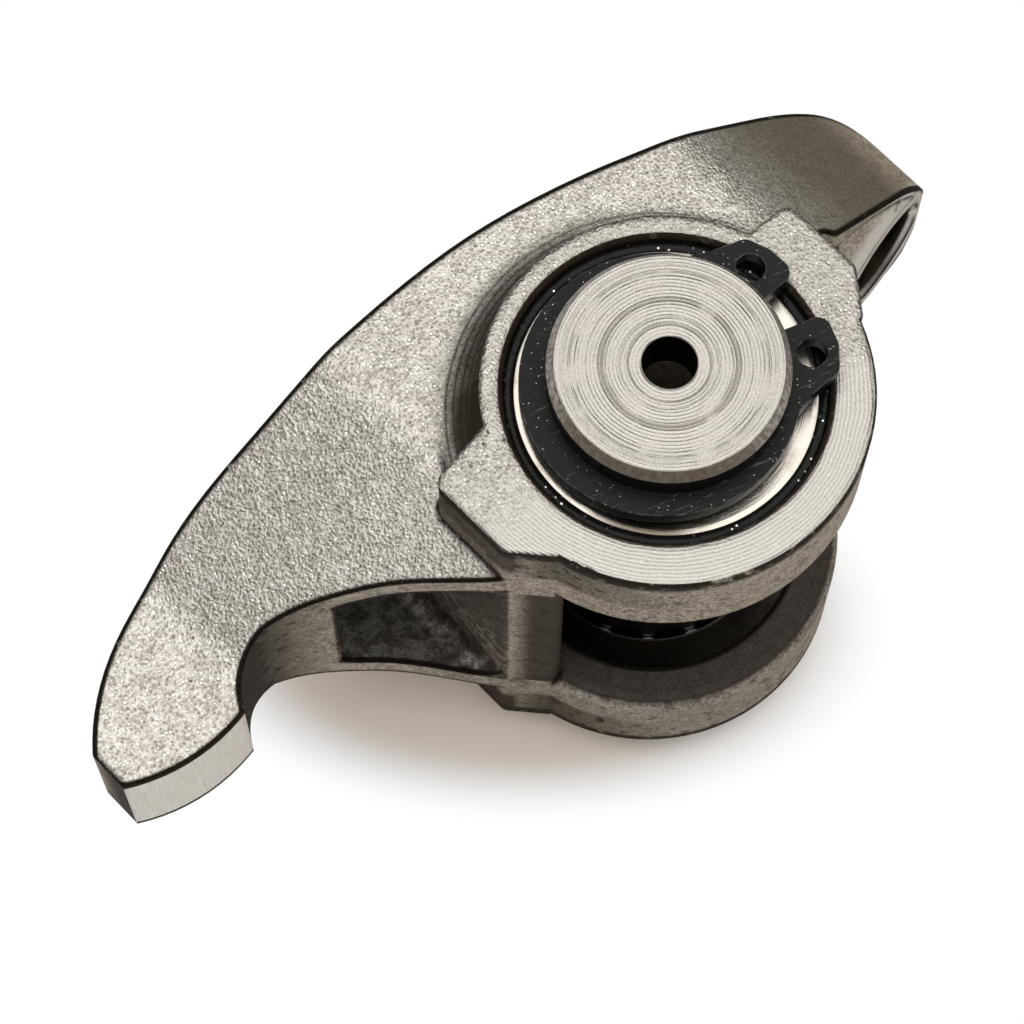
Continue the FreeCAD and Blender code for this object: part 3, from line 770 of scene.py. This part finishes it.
def oil_tree(material):
    """A ring of oil with a wavy surface and beads on it, made from its named sizes."""
    group = bpy.data.node_groups.new("oil_ring", "GeometryNodeTree")
    sizes = {
        "Radius": OIL_RING_R * MM,
        "Height": OIL_RING_HEIGHT * MM,
        "Width": OIL_RING_WIDTH * MM,
        "Depth": OIL_RING_DEPTH * MM,
        "Waviness": 0.25,
        "Bead size": 0.07 * MM,
    }
    for name, default in sizes.items():
        input_of(group, name, "NodeSocketFloat", default)
    input_of(group, "Beads", "NodeSocketInt", 120)
    group.interface.new_socket(name="Geometry", in_out="OUTPUT", socket_type="NodeSocketGeometry")
    tree = Tree(group)
    given = tree.node("NodeGroupInput")
    radius, height, width, depth, waviness, bead_size = (given.other(name) for name in sizes)

    grid = tree.node("GeometryNodeMeshGrid", None, [2.0 * math.pi, 2.0 * math.pi, 361, 17])
    along, around, _ = tree.parts(tree.node("GeometryNodeInputPosition"))
    cos_along, sin_along = along.maths("COSINE", along), along.sine()
    spot = tree.joined(cos_along * 6.0, sin_along * 6.0, 0.0)
    lumps = tree.node("ShaderNodeTexNoise", None, {"Vector": spot, "Scale": 1.0, "Detail": 2.0})
    swell = 1.0 + (lumps - 0.5) * waviness
    reach = radius + width * around.maths("COSINE", around)
    level = height + depth * swell * around.sine()
    spread = tree.joined(reach * cos_along, reach * sin_along, level)
    ring = tree.node("GeometryNodeSetPosition", None, {"Geometry": grid, "Position": spread})
    ring = tree.node("GeometryNodeMergeByDistance", None, {"Geometry": ring, "Distance": 1e-7})

    points = tree.node("GeometryNodePoints", None, {"Count": given.other("Beads")})
    angle = tree.node("FunctionNodeRandomValue", None, {"Min": 0.0, "Max": 2.0 * math.pi, "Seed": 3})
    shift = tree.node("FunctionNodeRandomValue", None, {"Min": -0.7, "Max": 0.7, "Seed": 5})
    size = tree.node("FunctionNodeRandomValue", None, {"Min": 0.4, "Max": 1.3, "Seed": 8})
    out = radius + width * shift
    on_top = height + depth * (1.0 - shift * shift).root()
    seat = tree.joined(out * angle.maths("COSINE", angle), out * angle.sine(), on_top)
    points = tree.node("GeometryNodeSetPosition", None, {"Geometry": points, "Position": seat})
    bead = tree.node("GeometryNodeMeshIcoSphere", None, {"Radius": bead_size, "Subdivisions": 2})
    values = {"Points": points, "Instance": bead, "Scale": tree.joined(size, size, size * 0.6)}
    beads = tree.node("GeometryNodeInstanceOnPoints", None, values)
    beads = tree.node("GeometryNodeRealizeInstances", None, [beads])

    joined = tree.nodes.new("GeometryNodeJoinGeometry")
    for part in (ring, beads):
        tree.links.new(part.socket, joined.inputs["Geometry"])
    whole = tree.node("GeometryNodeRealizeInstances", None, [Wire(tree, joined.outputs["Geometry"])])
    smooth = tree.node("GeometryNodeSetShadeSmooth", None, {"Geometry": whole})
    done = tree.node("GeometryNodeSetMaterial", None, {"Geometry": smooth, "Material": material})
    tree.links.new(done.socket, tree.nodes.new("NodeGroupOutput").inputs["Geometry"])
    return group


def grow(name, group, values, body):
    """The plain mesh that a Geometry Nodes tree makes, riding on a body."""
    piece = bpy.data.objects.new(name, bpy.data.meshes.new(name))
    bpy.context.scene.collection.objects.link(piece)
    modifier = piece.modifiers.new("shape", "NODES")
    modifier.node_group = group
    for item in group.interface.items_tree:
        if item.name in values:
            modifier[item.identifier] = values[item.name]
    made = piece.evaluated_get(bpy.context.evaluated_depsgraph_get())
    mesh = bpy.data.meshes.new_from_object(made)
    piece.modifiers.clear()
    piece.data = mesh
    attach(piece, body)


class ROCKER_OT_oil(bpy.types.Operator):
    """Lay the rings of old oil between the bearing shells and the arm's bores, with painted glints
    """

    bl_idname = "rocker.oil"
    bl_label = "Oil rings"

    def execute(self, context):
        s = context.scene.rocker_oil
        f = Finish("black_oil", metallic=0.0, Specular_IOR_Level=0.12)
        thick = f.noise(0.8, 3.0)
        wet = f.noise(0.3, 2.0)
        # Painted glints on the oil
        painted_oil_glint = f.pits(0.42, 0.1, 0.35)
        colour = f.mix(thick, s.colour, [3.0 * c for c in s.colour])
        colour = f.mix(painted_oil_glint, colour, s.oil_glint_paint_colour)
        f.set(
            Base_Color=colour,
            Metallic=painted_oil_glint,
            Roughness=0.06 + thick * 0.12,
            Normal=f.bump(wet, 0.03),
        )
        group = oil_tree(f.material)
        for side, sign in SIDES.items():
            values = {
                "Height": sign * OIL_RING_HEIGHT * MM,
                "Depth": sign * OIL_RING_DEPTH * MM,
                "Beads": s.beads,
                "Waviness": s.waviness,
            }
            grow(f"oil_ring_{side}", group, values, "arm")
        return {"FINISHED"}


class ROCKER_OT_bearings(bpy.types.Operator):
    """Finish the drawn shells, the cages and the needles"""

    bl_idname = "rocker.bearings"
    bl_label = "Needle bearings"

    def execute(self, context):
        s = context.scene.rocker_bearings
        f = Finish("bearing_steel_drawn")
        drawn = f.noise(0.2, 3.0, 0.6, f.joined(f.radius * 2.0, f.x * 0.1, f.y * 0.1))
        oil = f.noise(2.2, 3.0).rise(0.5, 0.68)
        colour = f.mix(drawn, s.drawn_shadow_colour, s.colour)
        colour = f.mix(oil * 0.5, colour, s.film_colour)
        browned = (f.along(BROWNED_SIDE) - f.radius * 0.86).rise(0.0, 0.8)
        colour = f.mix(browned * (0.65 + drawn * 0.4), colour, s.browned_colour)
        # Painted shade with old oil on the shells deep in the gap and in their rolled outer corners
        hidden_in_shade = abs(f.z).rise(SHELL_TOP - 1.0, SHELL_TOP - 1.6)
        corner_oil_and_shade = f.radius.rise(10.0, 10.12)
        colour = f.mix((hidden_in_shade + corner_oil_and_shade).at_most(1.0) * 0.93, colour, s.oil_and_shade_colour)
        f.set(Base_Color=colour, Roughness=0.2 + drawn * 0.12, Normal=f.bump(drawn, 0.012))
        paint([f"bearing_shell_{side}" for side in SIDES], f)

        f = Finish("cage_steel_oiled", Coat_Weight=0.4, Coat_Roughness=0.1)
        stain = f.noise(0.8, 3.0, 0.6)
        colour = f.mix(stain, s.cage_stain_colour, s.cage_colour)
        f.set(Base_Color=colour, Roughness=0.3 + stain * 0.2, Normal=f.bump(stain, 0.02))
        paint([f"bearing_cage_{side}" for side in SIDES], f)

        f = Finish("needle_steel_ground")
        ground = f.noise(0.25, 2.0, 0.5, f.joined(f.x, f.y, f.z * 6.0))
        colour = f.mix(ground, s.needle_shadow_colour, s.colour)
        f.set(Base_Color=colour, Roughness=0.14 + ground * 0.1, Normal=f.bump(ground, 0.006))
        paint([name for name in NODES if name.startswith("needle_")], f)
        return {"FINISHED"}


def area_lamp(name, place, aim, size, power, colour):
    """A soft box at that place, facing the aim. Its size and power are in metres and watts."""
    lamp = bpy.data.lights.new(name, "AREA")
    lamp.shape = "RECTANGLE"
    lamp.size, lamp.size_y = size
    lamp.energy = power
    lamp.color = colour
    holder = bpy.data.objects.new(name, lamp)
    bpy.context.scene.collection.objects.link(holder)
    away = Vector(place) - Vector(aim)
    turn = away.to_track_quat("Z", "Y").to_matrix().to_4x4()
    holder.matrix_world = Matrix.Translation(place) @ turn


class ROCKER_OT_stage(bpy.types.Operator):
    """Set the floor, the soft box, the sky and the camera"""

    bl_idname = "rocker.stage"
    bl_label = "Studio stage"

    def execute(self, context):
        s = context.scene.rocker_stage
        self.lay_floor(s)
        self.light(context.scene, s)
        self.set_camera(context.scene, s)
        context.scene.view_settings.view_transform = "Standard"
        return {"FINISHED"}

    def lay_floor(self, s):
        mesh = bpy.data.meshes.new("studio_floor")
        shape = bmesh.new()
        bmesh.ops.create_circle(shape, cap_ends=True, segments=96, radius=4.0)
        shape.to_mesh(mesh)
        shape.free()
        mesh.transform(Matrix.Translation((0.0, 0.0, s.floor_height)))
        floor = bpy.data.objects.new("studio_floor", mesh)
        bpy.context.scene.collection.objects.link(floor)
        f = Finish("paper_white", metallic=0.0, Specular_IOR_Level=0.2)
        path = f.node("ShaderNodeLightPath")
        seen = (path + path.other("Is Glossy Ray") + path.other("Is Transmission Ray")).at_most(1.0)
        beside = (f.along(PICTURE_RIGHT) + 9.0) / 28.0
        below = (f.along(PICTURE_DOWN) - 3.0) / 15.0
        reach = (beside * beside + below * below).root()
        far = reach.rise(0.66, 1.02)
        paper_colour = f.mix(f.noise(60.0), s.floor_colour, [0.99 * c for c in s.floor_colour])
        # Painted warm tint of the shadow, on the paper near the arm
        f.set(Base_Color=f.mix(reach.rise(1.0, 0.6), paper_colour, s.shadow_tint_colour), Roughness=0.8)
        white = f.node("ShaderNodeEmission", None, [(1.0, 1.0, 1.0), 1.0])
        paper = Wire(f, f.shader.outputs[0])
        shown = f.node("ShaderNodeMixShader", None, [seen * far, paper, white])
        f.links.new(shown.socket, f.output.inputs["Surface"])
        mesh.materials.append(f.material)

    def light(self, scene, s):
        world = bpy.data.worlds.new("studio_air")
        world.use_nodes = True
        tree = Tree(world.node_tree)
        _, _, height = tree.parts(tree.node("ShaderNodeTexCoord"))
        stops = [
            (0.0, (0.4, 0.4, 0.4)),
            (0.5, (0.17, 0.165, 0.16)),
            (0.64, (0.06, 0.057, 0.053)),
            (0.8, (0.07, 0.068, 0.065)),
            (1.0, (0.6, 0.6, 0.6)),
        ]
        air = tree.node("ShaderNodeValToRGB", {"stops": stops}, [height * 0.5 + 0.5])
        background = tree.node("ShaderNodeBackground", None, {"Color": air, "Strength": 1.0})
        output = tree.nodes.new("ShaderNodeOutputWorld")
        tree.links.new(background.socket, output.inputs["Surface"])
        scene.world = world
        place, aim = (0.04, 0.08, 0.62), (0.04, 0.08, 0.0)
        power, warm_white = 6.4 * s.lamp_strength, (1.0, 0.99, 0.975)
        area_lamp("overhead_box", place, aim, (1.1, 1.1), power, warm_white)

    def set_camera(self, scene, s):
        lens = bpy.data.cameras.new("camera")
        lens.lens = s.focal_length
        lens.sensor_width = 36.0
        lens.clip_start, lens.clip_end = 0.01, 20.0
        camera = bpy.data.objects.new("camera", lens)
        scene.collection.objects.link(camera)
        right = CAMERA_RIGHT * math.cos(CAMERA_ROLL) + CAMERA_UP * math.sin(CAMERA_ROLL)
        up = CAMERA_UP * math.cos(CAMERA_ROLL) - CAMERA_RIGHT * math.sin(CAMERA_ROLL)
        turn = Matrix((right, up, CAMERA_BACK)).transposed().to_4x4()
        camera.matrix_world = Matrix.Translation(CAMERA_PLACE) @ turn
        scene.camera = camera


class ROCKER_PT_panel(bpy.types.Panel):
    """The settings and the pieces"""

    bl_idname = "ROCKER_PT_panel"
    bl_label = "Rocker arm"
    bl_space_type = "VIEW_3D"
    bl_region_type = "UI"
    bl_category = "Rocker arm"

    def draw(self, context):
        for name, (group, operators) in GROUPS.items():
            box = self.layout.box()
            settings = getattr(context.scene, name)
            for field in group.__annotations__:
                box.prop(settings, field)
            for operator in operators:
                box.operator(operator.bl_idname)


GROUPS = {
    "rocker_casting": (CastingSettings, [ROCKER_OT_casting]),
    "rocker_trunnion": (TrunnionSettings, [ROCKER_OT_trunnion]),
    "rocker_rings": (RingSettings, [ROCKER_OT_rings]),
    "rocker_bearings": (BearingSettings, [ROCKER_OT_bearings]),
    "rocker_oil": (OilSettings, [ROCKER_OT_oil]),
    "rocker_stage": (StageSettings, [ROCKER_OT_stage]),
}


def register():
    for name, (group, operators) in GROUPS.items():
        bpy.utils.register_class(group)
        setattr(bpy.types.Scene, name, bpy.props.PointerProperty(type=group))
        for operator in operators:
            bpy.utils.register_class(operator)
    bpy.utils.register_class(ROCKER_PT_panel)


def unregister():
    bpy.utils.unregister_class(ROCKER_PT_panel)
    for name, (group, operators) in reversed(GROUPS.items()):
        for operator in operators:
            bpy.utils.unregister_class(operator)
        delattr(bpy.types.Scene, name)
        bpy.utils.unregister_class(group)


def main():
    register()
    bpy.ops.rocker.casting()
    bpy.ops.rocker.trunnion()
    bpy.ops.rocker.rings()
    bpy.ops.rocker.bearings()
    bpy.ops.rocker.oil()
    bpy.ops.rocker.stage()


if __name__ == "__main__":
    main()
